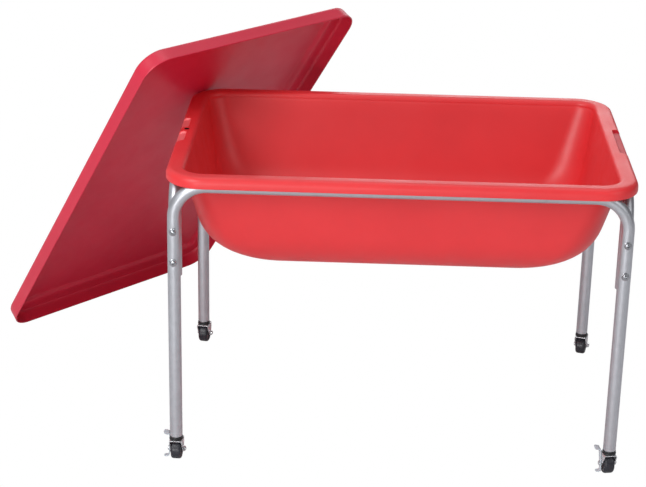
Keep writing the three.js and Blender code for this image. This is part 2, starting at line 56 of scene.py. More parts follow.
# ------------------------------------------------------------------ driving sizes
# basin
LIP_X, LIP_Y, LIP_R = 455.0, 303.0, 76.0  # half sizes and corner radius of the rim's outer edge
WALL_TOP, BOTTOM, SKIN = 600.0, 378.0, 3.5
RIM_IN_X, RIM_IN_Y = 33.5, 32.2  # from the outer edge in to the top of the wall
END_DRAFT, SIDE_DRAFT = radians(11.0), radians(19.0)
END_SWEEP, SIDE_SWEEP = 140.0, 120.0  # radius from wall into floor
CORNER_TOP, CORNER_BOTTOM = 44.0, 80.0
DRAIN_HOLE_R = 17.8
HANG_X, HANG_R = -(LIP_X - 16), 4.8  # the hole in the rib of the left grip

# tubes and bolts
TUBE_R, TUBE_BORE = 12.7, 11.2
LEG_X, LEG_Y, RAIL_Z, BEND_R = 435.0, 284.5, 588.0, 64.0
STUB_Y, STUB_END, LEG_END = LEG_Y - 2 * TUBE_R - 0.4, 394.0, 54.5
BOLTS = [("lower", 434.0, 24), ("upper", 497.5, -16)]  # level, height, turn in degrees
BOLT_Y = LEG_Y + TUBE_R + GAP
NUT_Y = STUB_Y - TUBE_R - GAP

# casters
WHEEL_R, WHEEL_W, TRAIL = 21.0, 21.0, 7.0
FORK_HALF, PLATE, FORK_TOP, FORK_FRONT, FORK_BACK = 13.4, 1.8, 46.0, 13.0, 17.5
CHEEK_R = 6.8  # round lower end of a fork cheek
AXLE_R, STEM_R = 2.9, 3.8
AXLE_BORE = AXLE_R + 0.25
# name, side in x, side in y, heading in degrees, has a toe brake
CASTERS = [
    ("front_left", -1, -1, -2, True),
    ("front_right", 1, -1, 10, True),
    ("rear_left", -1, 1, -9, False),
    ("rear_right", 1, 1, -15, False),
]

# lid
LID_X, LID_Y, LID_R, LID_R_MIN = 459.0, 307.0, 54.0, 6.0
LID_HEADING, LID_LEAN = radians(48.01), radians(55.17)
LID_CENTRE = (-494.927, 374.382, 377.47)

# carries everything from the centre of the basin to the frame's own origin
box_low, box_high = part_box("basin")
OFFSET = Vector(((box_low[0] + box_high[0]) / 2, (box_low[1] + box_high[1]) / 2, 0.0))


# ------------------------------------------------------------------ shader graphs
def rgb(red, green, blue):
    return (red, green, blue, 1.0)


MID = (0.3, 0.7)  # the band that holds most of a noise's values


class Graph:
    """The node tree of a material or world, with short ways to add nodes."""

    def __init__(self, owner, output):
        owner.use_nodes = True
        self.tree = owner.node_tree
        self.tree.nodes.clear()
        self.output = self.add(output).inputs[0]

    def add(self, kind, inputs=None, **settings):
        """Adds a node; an input is given either a value or the socket that feeds it."""
        node = self.tree.nodes.new("ShaderNode" + kind)
        for key, value in settings.items():
            setattr(node, key, value)
        for key, value in (inputs or {}).items():
            self.feed(node.inputs[key], value)
        return node

    def feed(self, socket, value):
        if isinstance(value, bpy.types.NodeSocket):
            self.tree.links.new(value, socket)
        else:
            socket.default_value = value

    def coords(self, scale=(1, 1, 1), space="Object"):
        source = self.add("TexCoord").outputs[space]
        return self.add("Mapping", {0: source, "Scale": scale}).outputs[0]

    def noise(self, vector, scale, detail, rough=0.5):
        values = {"Vector": vector, "Scale": scale, "Detail": detail, "Roughness": rough}
        return self.add("TexNoise", values).outputs["Fac"]

    def ramp(self, factor, low, high, band=MID):
        node = self.add("ValToRGB", {0: factor})
        for element, position, colour in zip(node.color_ramp.elements, band, (low, high)):
            element.position = position
            element.color = colour
        return node.outputs[0]

    def span(self, value, source, target, **settings):
        """Maps the source range onto the target range."""
        values = {
            "Value": value,
            "From Min": source[0],
            "From Max": source[1],
            "To Min": target[0],
            "To Max": target[1],
        }
        return self.add("MapRange", values, **settings).outputs[0]

    def math(self, operation, a, b=0.0):
        return self.add("Math", {0: a, 1: b}, operation=operation).outputs[0]

    def both(self, a, b):
        return self.math("MULTIPLY", a, b)

    def tint(self, factor, colour, over):
        return self.add("MixRGB", {"Fac": factor, "Color1": colour, "Color2": over}).outputs[0]

    def bump(self, height, strength, distance, under=None):
        values = {"Height": height, "Strength": strength, "Distance": distance}
        if under is not None:
            values["Normal"] = under
        return self.add("Bump", values).outputs[0]


def new_material(name):
    """A material, its graph and a function that feeds its principled shader."""
    material = bpy.data.materials.new(name)
    graph = Graph(material, "OutputMaterial")
    shader = graph.add("BsdfPrincipled")
    graph.feed(graph.output, shader.outputs[0])

    def surface(key, value):
        graph.feed(shader.inputs[key], value)

    return material, graph, surface


# ------------------------------------------------------------------ materials
# the band of the rim that holds the finger grips
GRIP_LOW, GRIP_HIGH = 599.0, 608.6
GRIP_FROM_X, GRIP_HALF_Y = 438.0, 76.5
RIB_HALF_Y = 14.0  # the rib across the left grip
HANG_SHADOW_R = 5.4  # radius of the painted shadow in and round the hanging hole
# painted highlight colour for the left finger grip, then painted shade colour for the right one
GRIP_PAINTED_HIGHLIGHT, SHADED_GRIP = rgb(0.86, 0.20, 0.21), rgb(0.50, 0.010, 0.026)
# near black, painted as the shadow inside the hanging hole
HOLE_PAINTED_SHADOW = rgb(0.012, 0.002, 0.002)


def grip_painted_light_and_shade(graph, colour, specular):
    """Paints a highlight on the left finger grip, paints shade on the right one and paints shadow
    in and round the hanging hole.

    Returns the colour and the specular level.
    """
    position = graph.add("NewGeometry").outputs["Position"]
    local = graph.add("VectorMath", {0: position, 1: OFFSET}, operation="SUBTRACT").outputs[0]
    x, y, z = graph.add("SeparateXYZ", {0: local}).outputs
    across = graph.math("ABSOLUTE", y)
    below = graph.math("LESS_THAN", z, GRIP_HIGH * MM)
    level = graph.both(below, graph.math("GREATER_THAN", z, GRIP_LOW * MM))
    within = graph.both(level, graph.math("LESS_THAN", across, GRIP_HALF_Y * MM))
    left_end = graph.math("LESS_THAN", x, -GRIP_FROM_X * MM)
    left = graph.both(left_end, graph.math("GREATER_THAN", across, RIB_HALF_Y * MM))
    left = graph.both(left, within)
    right = graph.both(graph.math("GREATER_THAN", x, GRIP_FROM_X * MM), within)
    # painted highlight on the left grip, painted shade on the right grip
    colour = graph.tint(graph.both(left, 0.6), colour, GRIP_PAINTED_HIGHLIGHT)
    colour = graph.tint(graph.both(right, 0.75), colour, SHADED_GRIP)
    # painted shadow over the hanging hole's walls and a thin ring round its edge
    from_hole = graph.math("ADD", x, -HANG_X * MM)
    distance_2 = graph.math("ADD", graph.both(from_hole, from_hole), graph.both(y, y))
    hole_shadow = graph.math("LESS_THAN", distance_2, (HANG_SHADOW_R * MM) ** 2)
    colour = graph.tint(hole_shadow, colour, HOLE_PAINTED_SHADOW)
    # the right grip's painted shade also takes most of its specular sheen away
    return colour, graph.math("SUBTRACT", specular, graph.both(right, specular * 0.7))


def moulded(name, deep, light, rough, specular, grips=False):
    """Moulded polyethylene: faint cloudiness, a fine orange-peel skin and hairline scuffs."""
    material, graph, surface = new_material(name)
    place = graph.coords()
    colour = graph.ramp(graph.noise(place, scale=5.5, detail=4, rough=0.55), deep, light)
    surface("Specular IOR Level", specular)
    # on the basin: painted highlight and painted shade on the finger grips, painted shadow at the
    # hanging hole
    if grips:
        colour, level = grip_painted_light_and_shade(graph, colour, specular)
        surface("Specular IOR Level", level)
    surface("Base Color", colour)

    haze = graph.noise(place, scale=16, detail=5, rough=0.6)
    scuff = graph.noise(graph.coords((9, 9, 150)), scale=9, detail=2, rough=0.6)
    worn = graph.both(graph.span(scuff, (0.62, 0.8), (0.0, 1.0)), 0.10)
    surface("Roughness", graph.math("ADD", graph.span(haze, MID, rough), worn))

    peel = graph.noise(place, scale=420, detail=2)
    wave = graph.noise(place, scale=9, detail=2)
    waviness = graph.bump(wave, strength=0.30, distance=0.0016)
    surface("Normal", graph.bump(peel, strength=0.06, distance=0.0004, under=waviness))
    surface("Subsurface Weight", 0.06)
    surface("Subsurface Radius", (0.9, 0.12, 0.08))
    surface("Subsurface Scale", 0.004)
    return material


def metal(name, base, rough, tint, grain, metallic=1.0, streak=0.0):
    """Mottled metal; streak roughens it in lines that follow the length of a tube's UV map."""
    material, graph, surface = new_material(name)
    place = graph.coords()
    low = rgb(*[c * (1 - tint) for c in base])
    high = rgb(*[min(1, c * (1 + tint)) for c in base])
    surface("Base Color", graph.ramp(graph.noise(place, scale=60, detail=4, rough=0.6), low, high))
    surface("Metallic", metallic)
    roughness = graph.span(graph.noise(place, scale=90, detail=4, rough=0.6), MID, rough)
    drawn = None
    if streak:
        lines = graph.noise(graph.coords((46, 1.1, 1), "UV"), scale=4, detail=4, rough=0.6)
        roughness = graph.math("ADD", roughness, graph.both(lines, streak))
        drawn = graph.bump(lines, strength=0.10, distance=0.0003)
    fine = graph.noise(place, scale=900, detail=2)
    surface("Normal", graph.bump(fine, strength=grain, distance=0.0003, under=drawn))
    surface("Roughness", roughness)
    return material


def dull(name, low, high, rough, grain):
    """Plain plastic or rubber with a fine grain."""
    material, graph, surface = new_material(name)
    place = graph.coords()
    surface("Base Color", graph.ramp(graph.noise(place, scale=45, detail=4, rough=0.6), low, high))
    haze = graph.noise(place, scale=120, detail=4, rough=0.6)
    surface("Roughness", graph.span(haze, MID, rough))
    fine = graph.noise(place, scale=700, detail=2)
    surface("Normal", graph.bump(fine, strength=grain, distance=0.0004))
    return material


RED = moulded("basin_red", rgb(0.70, 0.026, 0.031), rgb(0.76, 0.032, 0.037),
              rough=(0.36, 0.46), specular=0.5, grips=True)
LID_RED = moulded("lid_red", rgb(0.57, 0.014, 0.044), rgb(0.63, 0.018, 0.052),
                  rough=(0.34, 0.46), specular=0.55)
SILVER = metal("tube_silver", (0.50, 0.51, 0.54), rough=(0.28, 0.40), tint=0.06, grain=0.08,
               metallic=0.88, streak=0.16)
BOLT = metal("bolt_zinc", (0.36, 0.37, 0.39), rough=(0.16, 0.26), tint=0.12, grain=0.04)
ZINC = metal("zinc", (0.60, 0.61, 0.63), rough=(0.20, 0.32), tint=0.10, grain=0.05, metallic=0.75)
BRAKE = metal("brake_zinc", (0.50, 0.55, 0.59), rough=(0.36, 0.48), tint=0.05, grain=0.04,
              metallic=0.0)
BLACK = dull("socket_black", rgb(0.010, 0.010, 0.012), rgb(0.018, 0.018, 0.020),
             rough=(0.34, 0.48), grain=0.25)
WHEEL = dull("wheel_black", rgb(0.013, 0.013, 0.019), rgb(0.022, 0.022, 0.030),
             rough=(0.30, 0.46), grain=0.18)
RUBBER = dull("seal_black", rgb(0.012, 0.012, 0.012), rgb(0.022, 0.022, 0.022),
              rough=(0.6, 0.75), grain=0.4)
CREAM = dull("drain_white", rgb(0.72, 0.70, 0.64), rgb(0.80, 0.78, 0.72),
             rough=(0.35, 0.5), grain=0.15)


# ------------------------------------------------------------------ mesh helpers
def link_object(name, mesh):
    piece = bpy.data.objects.new(name, mesh)
    bpy.context.scene.collection.objects.link(piece)
    return piece


def shade(mesh, sharp):
    """Smooth faces, with the edges over the given angle kept sharp."""
    mesh.polygons.foreach_set("use_smooth", [True] * len(mesh.polygons))
    mesh.set_sharp_from_angle(angle=radians(sharp))


def write_uvs(mesh, uvs):
    """Fills a UV map from one (u, v) per vertex; u runs round a tube from 0 to 1."""
    layer = mesh.uv_layers.new(name="UVMap")
    for face in mesh.polygons:
        values = [uvs[i] for i in face.vertices]
        around = [u for u, _ in values]
        # a face that crosses the seam keeps its own side
        wraps = max(around) - min(around) > 0.5
        for loop, (u, v) in zip(face.loop_indices, values):
            layer.data[loop].uv = (u + 1.0 if wraps and u < 0.5 else u, v)


def make(name, points, faces, material, sharp=32.0, uvs=None):
    mesh = bpy.data.meshes.new(name)
    mesh.from_pydata([tuple(c * MM for c in p) for p in points], [], faces)
    if uvs:
        write_uvs(mesh, uvs)
    bm = bmesh.new()
    bm.from_mesh(mesh)
    bmesh.ops.recalc_face_normals(bm, faces=bm.faces)
    bm.to_mesh(mesh)
    bm.free()
    shade(mesh, sharp)
    mesh.materials.append(material)
    return link_object(name, mesh)


def grid_faces(rows, count, join_rows=False, closed=True):
    """Quads over rows of points; closed joins each row's end to its start."""
    faces = []
    for a in range(rows if join_rows else rows - 1):
        b = (a + 1) % rows
        for i in range(count if closed else count - 1):
            j = (i + 1) % count
            faces.append((a * count + i, a * count + j, b * count + j, b * count + i))
    return faces


def loft(name, rings, material, sharp, capped=False, uvs=None):
    """Skins rings of equal count: each end is fanned to its middle, or last joins first."""
    count = len(rings[0])
    points = [p for ring in rings for p in ring]
    faces = grid_faces(len(rings), count, join_rows=not capped)
    if capped:
        for k in (0, len(rings) - 1):
            middle = len(points)
            points.append(tuple(sum(p[axis] for p in rings[k]) / count for axis in range(3)))
            for i in range(count):
                faces.append((middle, k * count + i, k * count + (i + 1) % count))
    return make(name, points, faces, material, sharp, uvs)


def circle(radius, z, sides, x=0.0):
    turns = [2 * pi * i / sides for i in range(sides)]
    return [(x + radius * cos(a), radius * sin(a), z) for a in turns]


def revolve(name, profile, material, sides, x=0.0):
    """Turns a profile of (radius, height) about an upright axis at x.

    A profile that ends where it starts is closed into a ring.
    """
    closed = profile[0] == profile[-1]
    outline = profile[:-1] if closed else profile
    points, starts = [], []
    for radius, z in outline:
        on_axis = radius == 0
        starts.append((len(points), on_axis))
        points += [(x, 0, z)] if on_axis else circle(radius, z, sides, x)
    faces = []
    count = len(outline)
    for k in range(count if closed else count - 1):
        (a, a_on_axis), (b, b_on_axis) = starts[k], starts[(k + 1) % count]
        if a_on_axis and b_on_axis:
            continue
        for i in range(sides):
            j = (i + 1) % sides
            if a_on_axis:
                faces.append((a, b + j, b + i))
            elif b_on_axis:
                faces.append((a + i, a + j, b))
            else:
                faces.append((a + i, a + j, b + j, b + i))
    return make(name, points, faces, material)


def mirrored(half):
    """Closes half a profile of (radius, height) with its mirror image across height 0."""
    return half + [(r, -h) for r, h in reversed(half)] + [half[0]]


def hex_nut(name, flats, bore, height, material, sides=48, chamfer=0.9):
    """A hexagon nut standing on z = 0, its corners turned down at both faces."""
    flat_r = flats / 2
    corner_r = flats / sqrt(3)

    def hexagon(z, limit):
        ring = []
        for i in range(sides):
            a = 360.0 * i / sides
            from_flat = (a + 30) % 60 - 30
            r = min(flat_r / cos(radians(from_flat)), limit)
            ring.append((r * cos(radians(a)), r * sin(radians(a)), z))
        return ring

    face_r, mid_r = flat_r * 0.97, (flat_r + corner_r) / 2
    levels = [(0, face_r), (chamfer * 0.5, mid_r), (chamfer, corner_r),
              (height - chamfer, corner_r), (height - chamfer * 0.5, mid_r), (height, face_r)]
    rings = [circle(bore, 0, sides)]
    rings += [hexagon(z, limit) for z, limit in levels]
    rings.append(circle(bore, height, sides))
    return loft(name, rings, material, sharp=28)


def apply_modifiers(piece):
    graph = bpy.context.evaluated_depsgraph_get()
    mesh = bpy.data.meshes.new_from_object(piece.evaluated_get(graph))
    old = piece.data
    piece.modifiers.clear()
    piece.data = mesh
    bpy.data.meshes.remove(old)


def round_edges(piece, width, angle):
    """Rounds the hard edges of a small part."""
    bevel = piece.modifiers.new("edge", "BEVEL")
    bevel.width = width * MM
    bevel.segments = 2
    bevel.limit_method = "ANGLE"
    bevel.angle_limit = radians(angle)
    apply_modifiers(piece)
    shade(piece.data, 32)
    return piece


def cut(piece, cutters, sharp):
    for cutter in cutters:
        boolean = piece.modifiers.new("cut", "BOOLEAN")
        boolean.operation = "DIFFERENCE"
        boolean.object = cutter
        boolean.solver = "EXACT"
    bpy.context.view_layer.update()
    apply_modifiers(piece)
    for cutter in cutters:
        bpy.data.objects.remove(cutter)
    shade(piece.data, sharp)


def join(name, pieces, material, sharp):
    """Several closed shells in one object."""
    bm = bmesh.new()
    for piece in pieces:
        bm.from_mesh(piece.data)
    mesh = bpy.data.meshes.new(name)
    bm.to_mesh(mesh)
    bm.free()
    mesh.materials.append(material)
    for piece in pieces:
        bpy.data.objects.remove(piece)
    mesh.set_sharp_from_angle(angle=radians(sharp))
    return link_object(name, mesh)


def shift(x, y, z):
    return Matrix.Translation(Vector((x, y, z)) * MM)


def rotation(degrees, axis):
    return Matrix.Rotation(radians(degrees), 4, axis)


def put(piece, body, node, placed=None):
    """Places a piece, parents it to the empty of the body it rides on and hides the CAD node it
    replaces.
    """
    if placed is not None:
        piece.data.transform(placed)
    piece.data.transform(Matrix.Translation(OFFSET))
    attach(piece, body)
    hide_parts(node)


def smooth(x, low, high):
    t = min(max((x - low) / (high - low), 0.0), 1.0)
    return t * t * (3 - 2 * t)


# ------------------------------------------------------------------ rounded rectangles
def stations(end_places, side_places, corner_steps):
    """Points round a rounded rectangle, anticlockwise from the right-hand end.

    Each is (is a corner, side, place). Sides run right, rear, left, front. The place is the
    fraction of the straight's half length, or in a corner the angle in degrees.
    """
    found = []
    for side in range(4):
        found += [(False, side, t) for t in (side_places if side % 2 else end_places)]
        for i in range(corner_steps + 1):
            found.append((True, side, side * 90 + 90.0 * i / corner_steps))
    return found


def place(station, half_x, half_y, radius):
    """The x and y of a station on a rounded rectangle of the given size."""
    is_corner, side, where = station
    run_x, run_y = half_x - radius, half_y - radius
    if is_corner:
        x = (1, -1, -1, 1)[side] * run_x + radius * cos(radians(where))
        y = (1, 1, -1, -1)[side] * run_y + radius * sin(radians(where))
        return x, y
    straights = (
        (half_x, where * run_y),
        (-where * run_x, half_y),
        (-half_x, -where * run_y),
        (where * run_x, -half_y),
    )
    return straights[side]


# ------------------------------------------------------------------ basin
END_HALF = LIP_Y - LIP_R
# distances from the middle of an end, closest where the grip and its rib turn
END_PLACES = [0, 6, 10, 12.4, 13.2, 14.0, 14.8, 15.6, 16.4, 17.4, 20, 28, 40, 52, 62, 67, 69.5,
              71.5, 73, 74.2, 75.2, 76.2, 77.2, 78.5, 81, 88, 104, 128, 158, 190, 216]
BASIN_STATIONS = stations(
    end_places=[y / END_HALF for y in sorted({-y for y in END_PLACES} | set(END_PLACES))],
    side_places=[i / 30.0 for i in range(-29, 30, 2)],
    corner_steps=18,
)

# heights of the wall rings above the floor, then the absolute heights of the top two
WALL_LEVELS = [0, 0.5, 1.6, 3.6, 6.4, 10, 14.5, 20, 26.5, 34, 42.5, 52, 62, 73, 85, 98, 112, 128,
               146, 166, 188, 206]
WALL_TOP_LEVELS = [594.5, 598.0]
# how far each floor ring is drawn from the wall in to the drain hole
FLOOR_STEPS = (1.0, 0.93, 0.84, 0.7, 0.5, 0.3, 0.14)

# rim outlines of (distance in from the outer edge, height)
# outer shoulder from crown to lip, plain and where a finger grip is pressed in
SHOULDER = [
    (20, 610), (16.5, 610), (13.6, 609.97), (11.6, 609.85), (9.9, 609.6), (8.2, 609.15),
    (6.6, 608.5), (5.2, 607.7), (3.9, 606.7), (2.8, 605.5), (1.9, 604.2), (1.2, 602.8),
    (0.65, 601.2), (0.28, 599.6), (0.08, 598.0), (0.0, 596.4)]
SHOULDER_GRIP = [
    (20, 610), (18.8, 610), (17.9, 609.95), (17.3, 609.6), (16.9, 609.0), (16.65, 608.2),
    (16.5, 607.3), (16.2, 606.4), (15.5, 605.7), (14.2, 605.3), (11.8, 604.8), (9.0, 604.2),
    (6.0, 603.5), (3.2, 602.7), (1.3, 601.2), (0.1, 597.5)]
LIP = [
    (0.0, 594.4), (0.0, 592.4), (0.0, 590.8), (0.1, 589.6), (0.35, 588.7), (0.8, 588.15),
    (1.5, 588.0), (2.3, 588.1), (2.9, 588.6), (3.2, 589.4), (3.35, 590.8), (3.4, 593.0)]
# the underside of the shoulder, plain and under a grip
UNDER = [(3.5, 595.4), (3.9, 598.4), (4.9, 601.2), (6.8, 603.6), (9.6, 605.3), (13.4, 606.1),
         (19, 606.2)]
UNDER_GRIP = [(3.5, 594.6), (4.6, 596.2), (7.0, 598.2), (10.2, 600.6), (13.6, 602.8),
              (16.8, 604.4), (19, 606.0)]
UNDER_CROWN = [(23, 606.2), (27, 605.6), (29.8, 603.8), (31.4, 601.4)]
# arc from the inner wall up to the crown
INNER_ARC_IN, INNER_ARC_Z, INNER_ARC_R = 26.2, 600.2, 9.8


def wall_half(z, top, draft, sweep, bottom):
    """Half width at height z of a drafted wall that sweeps round into the floor."""
    sweep_z = bottom + sweep
    if z >= sweep_z - sweep * sin(draft):
        return top - tan(draft) * (WALL_TOP - z)
    sweep_half = top - tan(draft) * (WALL_TOP - sweep_z) - sweep / cos(draft)
    return sweep_half + sqrt(max(sweep * sweep - (sweep_z - z) ** 2, 0.0))


def wall_ring(z, inset):
    """A ring of the wall; inset is 0 on its outer face and SKIN on its inner one."""
    bottom = BOTTOM + inset
    half_x = wall_half(z, LIP_X - RIM_IN_X - inset / cos(END_DRAFT), END_DRAFT,
                       END_SWEEP - inset, bottom)
    half_y = wall_half(z, LIP_Y - RIM_IN_Y - inset / cos(SIDE_DRAFT), SIDE_DRAFT,
                       SIDE_SWEEP - inset, bottom)
    depth = (WALL_TOP - z) / (WALL_TOP - BOTTOM)
    radius = CORNER_TOP + (CORNER_BOTTOM - CORNER_TOP) * depth - inset
    return [(*place(s, half_x, half_y, radius), z) for s in BASIN_STATIONS]


def floor_ring(edge, step):
    ring = []
    for x, y, z in edge:
        a = atan2(y, x)
        hole_x, hole_y = DRAIN_HOLE_R * cos(a), DRAIN_HOLE_R * sin(a)
        ring.append((x + (hole_x - x) * step, y + (hole_y - y) * step, z))
    return ring


def face_rings(inset):
    """One face of the shell, from the drain hole out and up to the rim."""
    floor_z = BOTTOM + inset
    edge = wall_ring(floor_z, inset)
    heights = [floor_z + h for h in WALL_LEVELS] + WALL_TOP_LEVELS
    return [floor_ring(edge, f) for f in FLOOR_STEPS] + [wall_ring(z, inset) for z in heights]


def grip_amount(station):
    """1 in a finger grip, 0 on the plain rim; the left grip has a rib across its middle."""
    is_corner, side, where = station
    if is_corner or side % 2:
        return 0.0
    y = abs(where * END_HALF)
    amount = 1 - smooth(y, 71.5, 77.2)
    if side == 2:
        amount *= smooth(y, 13.2, 16.4)
    return amount


def rim_ring(plain, grip=None):
    grip = grip or plain
    ring = []
    for station in BASIN_STATIONS:
        amount = grip_amount(station)
        inward, z = [p + (g - p) * amount for p, g in zip(plain, grip)]
        # the rim is a little wider at the ends than along the sides
        extra = min(max((inward - 10) / 22, 0), 1) * (RIM_IN_X - RIM_IN_Y)
        ring.append((*place(station, LIP_X - inward - extra, LIP_Y - inward, LIP_R - inward), z))
    return ring


def rim_rings():
    """The rim, from the inner wall over the crown and lip and back beneath."""
    rings = []
    for i in range(10):
        a = radians(-8 + 98 * i / 9)
        rings.append(rim_ring((INNER_ARC_IN + INNER_ARC_R * cos(a),
                               INNER_ARC_Z + INNER_ARC_R * sin(a))))
    rings.append(rim_ring((23, 610.0)))
    rings += [rim_ring(p, g) for p, g in zip(SHOULDER, SHOULDER_GRIP)]
    rings += [rim_ring(p) for p in LIP]
    rings += [rim_ring(p, g) for p, g in zip(UNDER, UNDER_GRIP)]
    rings += [rim_ring(p) for p in UNDER_CROWN]
    return rings


def rib(low, high):
    points = [(x, y, z) for x in (low[0], high[0]) for y in (low[1], high[1])
              for z in (low[2], high[2])]
    faces = [(0, 1, 3, 2), (4, 6, 7, 5), (0, 4, 5, 1), (2, 3, 7, 6), (0, 2, 6, 4), (1, 5, 7, 3)]
    return round_edges(make("rib", points, faces, RED), width=0.8, angle=35)


def seat_ribs():
    """Short ribs between the rails and the underside of the rim."""
    low, high, half = RAIL_Z + TUBE_R + GAP, 607.2, 4
    ribs = []
    for x in (-260, 0, 260):
        for side in (-1, 1):
            y0, y1 = sorted((side * (LIP_Y - 10.5), side * (LIP_Y - 31)))
            ribs.append(rib((x - half, y0, low), (x + half, y1, high)))
    for y in (-150, 150):
        for side in (-1, 1):
            x0, x1 = sorted((side * (LIP_X - 10.5), side * (LIP_X - 32)))
            ribs.append(rib((x0, y - half, low), (x1, y + half, high)))
    return ribs


def build_basin():
    rings = face_rings(SKIN) + rim_rings() + face_rings(0.0)[::-1]
    shell = loft("basin_shell", rings, RED, sharp=50)
    hole = [(0, 590), (HANG_R, 590), (HANG_R, 620), (0, 620)]
    cut(shell, [revolve("cutter", hole, RED, sides=32, x=HANG_X)], sharp=50)
    basin = join("basin_moulding", [shell] + seat_ribs(), RED, sharp=50)
    put(basin, "table", "basin")


build_basin()


# ------------------------------------------------------------------ lid
LID_PLACES = [i / 14.0 for i in range(-13, 14, 2)]
LID_STATIONS = stations(LID_PLACES, LID_PLACES, corner_steps=16)
# outlines of (distance in from the edge, height over the open side)
LID_INNER = [
    (3.0, 1.6), (3.25, 4), (4.0, 12), (4.9, 22), (5.4, 25.5), (6.2, 28.2), (7.6, 30.1),
    (9.6, 30.9), (12, 31), (22, 31), (35, 31), (38.5, 31.3), (40.6, 32.4), (43.5, 35.6),
    (45.5, 37.8), (47.6, 38.8), (51, 39), (56, 39)]
LID_LIP = [(2.7, 0.6), (2.1, 0.1), (1.0, 0.1), (0.4, 0.6)]
LID_OUTER = [
    (59, 42), (49, 42), (45.6, 41.8), (43.4, 40.8), (40.6, 37.6), (38.8, 35.6), (36.8, 34.3),
    (34, 34), (22, 34), (10.5, 34), (7.6, 33.6), (5.4, 32.4), (3.9, 30.4), (3.1, 27.8),
    (2.7, 24.5), (1.9, 14), (0.9, 5.0), (0.1, 1.6)]
PANEL_STEPS = (0.1, 0.35, 0.6, 0.8, 0.93)  # scales of the flat centre's rings


def lid_ring(inward, z, scale=1.0):
    radius = max(LID_R - inward, LID_R_MIN)
    ring = []
    for station in LID_STATIONS:
        x, y = place(station, LID_X - inward, LID_Y - inward, radius)
        ring.append((x * scale, y * scale, z))
    return ring


def lid_pose():
    """Stands the lid leaning: its width stays level and its long axis is tilted up."""
    long_axis = Vector((sin(LID_HEADING) * cos(LID_LEAN), -cos(LID_HEADING) * cos(LID_LEAN),
                        sin(LID_LEAN)))
    width_axis = Vector((cos(LID_HEADING), sin(LID_HEADING), 0))
    pose = Matrix((long_axis, width_axis, long_axis.cross(width_axis))).transposed().to_4x4()
    pose.translation = Vector(LID_CENTRE)
    return pose


def build_lid():
    rings = [lid_ring(*LID_INNER[-1], scale) for scale in PANEL_STEPS]
    rings += [lid_ring(*p) for p in LID_INNER[::-1] + LID_LIP + LID_OUTER[::-1]]
    rings += [lid_ring(*LID_OUTER[0], scale) for scale in PANEL_STEPS[::-1]]
    pose = lid_pose()
    rings = [[tuple(pose @ Vector(p)) for p in ring] for ring in rings]
    lid = loft("lid_moulding", rings, LID_RED, sharp=50, capped=True)
    put(lid, "lid", "lid")


build_lid()


# ------------------------------------------------------------------ tube frame
def u_path(centre, along, half, foot):
    """An upside-down U: up a leg from the foot, round a bend, along the rail and down again."""
    bend_steps, straight_steps = 20, 6
    bend_z = RAIL_Z - BEND_R
    rise = [(-half, foot + (bend_z - foot) * i / straight_steps) for i in range(straight_steps)]
    for i in range(bend_steps + 1):
        a = pi / 2 * i / bend_steps
        rise.append((-half + BEND_R * (1 - cos(a)), bend_z + BEND_R * sin(a)))
    rail_half = half - BEND_R
    rail = [(-rail_half + 2 * rail_half * i / straight_steps, RAIL_Z)
            for i in range(1, straight_steps)]
    fall = [(-run, z) for run, z in reversed(rise)]
    path = []
    for run, z in rise + rail + fall:
        x, y, _ = Vector(centre) + Vector(along) * run
        path.append(Vector((x, y, z)))
    return path


def tube(name, path, normal):
    """A hollow tube along a path that lies in the plane across the normal."""
    sides, end_round, bend_flat = 48, 0.35, 0.975
    normal = Vector(normal)
    last = len(path) - 1
    run = [0.0]
    for a, b in zip(path, path[1:]):
        run.append(run[-1] + (b - a).length)
    uvs = []

    def ring(i, radius, advance=0.0):
        before, after = path[max(i - 1, 0)], path[min(i + 1, last)]
        tangent = (after - before).normalized()
        across = tangent.cross(normal).normalized()
        centre = path[i] + tangent * advance
        # a bent tube is slightly flattened across its bend
        bent = False
        if 0 < i < last:
            back, ahead = (before - path[i]).normalized(), (after - path[i]).normalized()
            bent = back.dot(ahead) > -0.99999
        flat = bend_flat if bent else 1.0
        points = []
        for k in range(sides):
            a = 2 * pi * k / sides
            offset = normal * (radius * cos(a)) + across * (radius * flat * sin(a))
            points.append(tuple(centre + offset))
            uvs.append((k / sides, run[i] * MM * 4))  # v repeats four times a metre
        return points

    rings = [ring(0, TUBE_R - end_round), ring(0, TUBE_R, end_round)]
    rings += [ring(i, TUBE_R) for i in range(1, last)]
    rings += [ring(last, TUBE_R, -end_round), ring(last, TUBE_R - end_round)]
    rings += [ring(i, TUBE_BORE) for i in range(last, -1, -1)]
    return loft(name, rings, SILVER, sharp=40, uvs=uvs)


X_AXIS, Y_AXIS = (1, 0, 0), (0, 1, 0)
for side, sign in (("front", -1), ("rear", 1)):
    path = u_path((0, sign * LEG_Y, 0), X_AXIS, LEG_X, LEG_END)
    put(tube(f"tube_{side}", path, Y_AXIS), "table", f"{side}_leg_frame")
for side, sign in (("left", -1), ("right", 1)):
    path = u_path((sign * LEG_X, 0, 0), Y_AXIS, STUB_Y, STUB_END)
    put(tube(f"tube_{side}", path, X_AXIS), "table", f"{side}_end_rail")


# ------------------------------------------------------------------ bolts and nuts
SHANK = BOLT_Y - NUT_Y
# a pan head on a washer, then the shank: (radius, height), height running down the shank
BOLT_PROFILE = [
    (0, -5.5), (2.0, -5.42), (3.6, -5.1), (4.9, -4.5), (5.7, -3.7), (6.05, -2.7), (6.05, -1.65),
    (6.9, -1.6), (7.6, -1.5), (8.0, -1.1), (8.0, -0.35), (7.7, 0), (3.0, 0),
    (3.0, SHANK + 6.4), (2.4, SHANK + 7), (0, SHANK + 7)]


